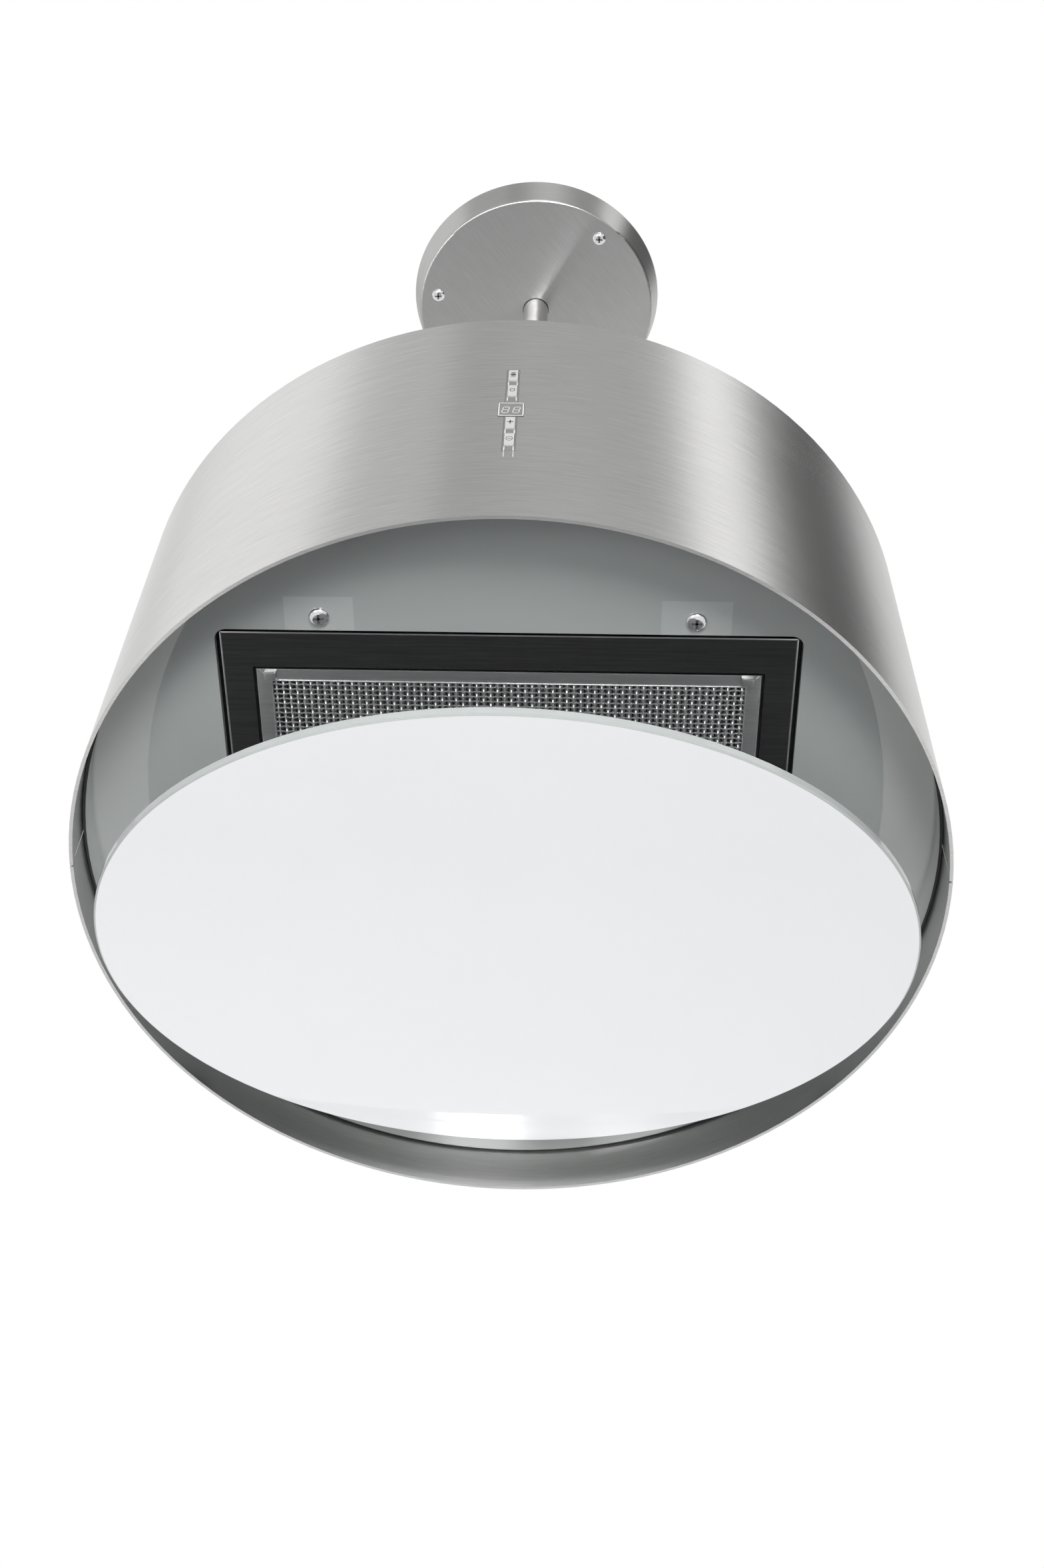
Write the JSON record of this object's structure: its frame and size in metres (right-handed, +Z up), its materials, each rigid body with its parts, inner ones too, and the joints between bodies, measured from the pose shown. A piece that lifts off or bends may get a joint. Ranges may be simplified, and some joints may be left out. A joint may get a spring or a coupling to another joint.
{
  "type": "island range hood",
  "caption": "Ceiling-hung island range hood: a brushed steel drum on a tube and canopy, with a tilting white glass disc, glass panel, mesh grease filter and push-button strip.",
  "frame": {"origin": "centre of the ceiling bracket's top face, where the hood meets the ceiling", "axes": "+Z up to the ceiling, -Y the front with the controls, +X to the viewer's right when facing the controls"},
  "size_m": [0.6, 0.6006, 1.1092],
  "materials": {
    "brushed_shell": "brushed round the drum",
    "chrome_screw": "bright",
    "zinc_steel": "zinc-plated sheet",
    "green_glass": "satin grey-green, back-painted",
    "white_glass": "glossy opaque white",
    "dark_steel": "dark satin",
    "filter_aluminium": "bright mesh",
    "black_rubber": "matt",
    "board_green": "glass-fibre board",
    "black_plastic": "moulded",
    "display_glass": "clear window over dark digits",
    "button_grey": "satin light grey",
    "motor_metal": "plain",
    "hinge_steel": "plain bright"
  },
  "bodies": {
    "hood": {"front_shell": "brushed_shell", "rear_shell": "brushed_shell", "canopy_cover": "brushed_shell", "suspension_tube": "brushed_shell", "canopy_screws": "chrome_screw", "panel_screws": "chrome_screw", "ceiling_bracket": "zinc_steel", "canopy_standoffs": "zinc_steel", "tube_flange": "zinc_steel", "flange_bolts": "zinc_steel", "top_plate": "zinc_steel", "top_beams": "zinc_steel", "support_posts": "zinc_steel", "support_ring": "zinc_steel", "seam_straps": "zinc_steel", "shell_screws": "zinc_steel", "backing_plates": "zinc_steel", "tray_screws": "zinc_steel", "tube_set_screws": "zinc_steel", "motor_screws": "zinc_steel", "intake_box": "zinc_steel", "blower_lower_half": "zinc_steel", "blower_upper_half": "zinc_steel", "glass_panel": "green_glass", "filter_tray": "dark_steel", "inlet_ring": "filter_aluminium", "edge_gasket": "black_rubber", "motor_grommets": "black_rubber", "cable_gland": "black_rubber", "led_strips": "board_green", "power_board": "board_green", "control_board": "board_green", "control_box": "black_plastic", "control_box_lid": "black_plastic", "charcoal_filter": "black_plastic", "button_switches": "black_plastic", "control_bezel": "black_plastic", "friction_washers": "black_plastic", "display_window": "display_glass", "motor_housing": "motor_metal", "motor_stator": "motor_metal", "hinge_brackets": "hinge_steel", "hinge_pins": "hinge_steel", "motor_bearings": "hinge_steel"},
    "disc": {"glass_disc": "white_glass", "hinge_leaves": "hinge_steel", "catch_posts": "hinge_steel", "catch_magnets": "hinge_steel"},
    "filter": {"filter_frame": "filter_aluminium", "filter_mesh": "filter_aluminium"},
    "impeller": {"impeller": "black_plastic", "motor_shaft": "hinge_steel", "motor_rotor": "motor_metal"},
    "lamp_button": {"lamp_button": "button_grey"},
    "fan_button": {"fan_button": "button_grey"},
    "faster_button": {"faster_button": "button_grey"},
    "slower_button": {"slower_button": "button_grey"}
  },
  "joints": [
    {"name": "disc_tilt", "type": "hinge", "parent": "hood", "child": "disc", "pos_m": [0, 0.2015, -0.963], "axis": [1, 0, 0], "range_deg": [-16.35, 3.5]},
    {"name": "filter_tilt", "type": "hinge", "parent": "hood", "child": "filter", "pos_m": [0, 0.158, -0.9375], "axis": [1, 0, 0], "range_deg": [0, 20]},
    {"name": "impeller_spin", "type": "hinge", "parent": "hood", "child": "impeller", "pos_m": [0, 0, -0.84], "axis": [0, 0, 1], "continuous": true},
    {"name": "lamp_button_press", "type": "slide", "parent": "hood", "child": "lamp_button", "axis": [0, 1, 0], "range_m": [0, 0.0008], "stiffness_N_per_m": 600},
    {"name": "fan_button_press", "type": "slide", "parent": "hood", "child": "fan_button", "axis": [0, 1, 0], "range_m": [0, 0.0008], "stiffness_N_per_m": 600},
    {"name": "faster_button_press", "type": "slide", "parent": "hood", "child": "faster_button", "axis": [0, 1, 0], "range_m": [0, 0.0008], "stiffness_N_per_m": 600},
    {"name": "slower_button_press", "type": "slide", "parent": "hood", "child": "slower_button", "axis": [0, 1, 0], "range_m": [0, 0.0008], "stiffness_N_per_m": 600}
  ]
}
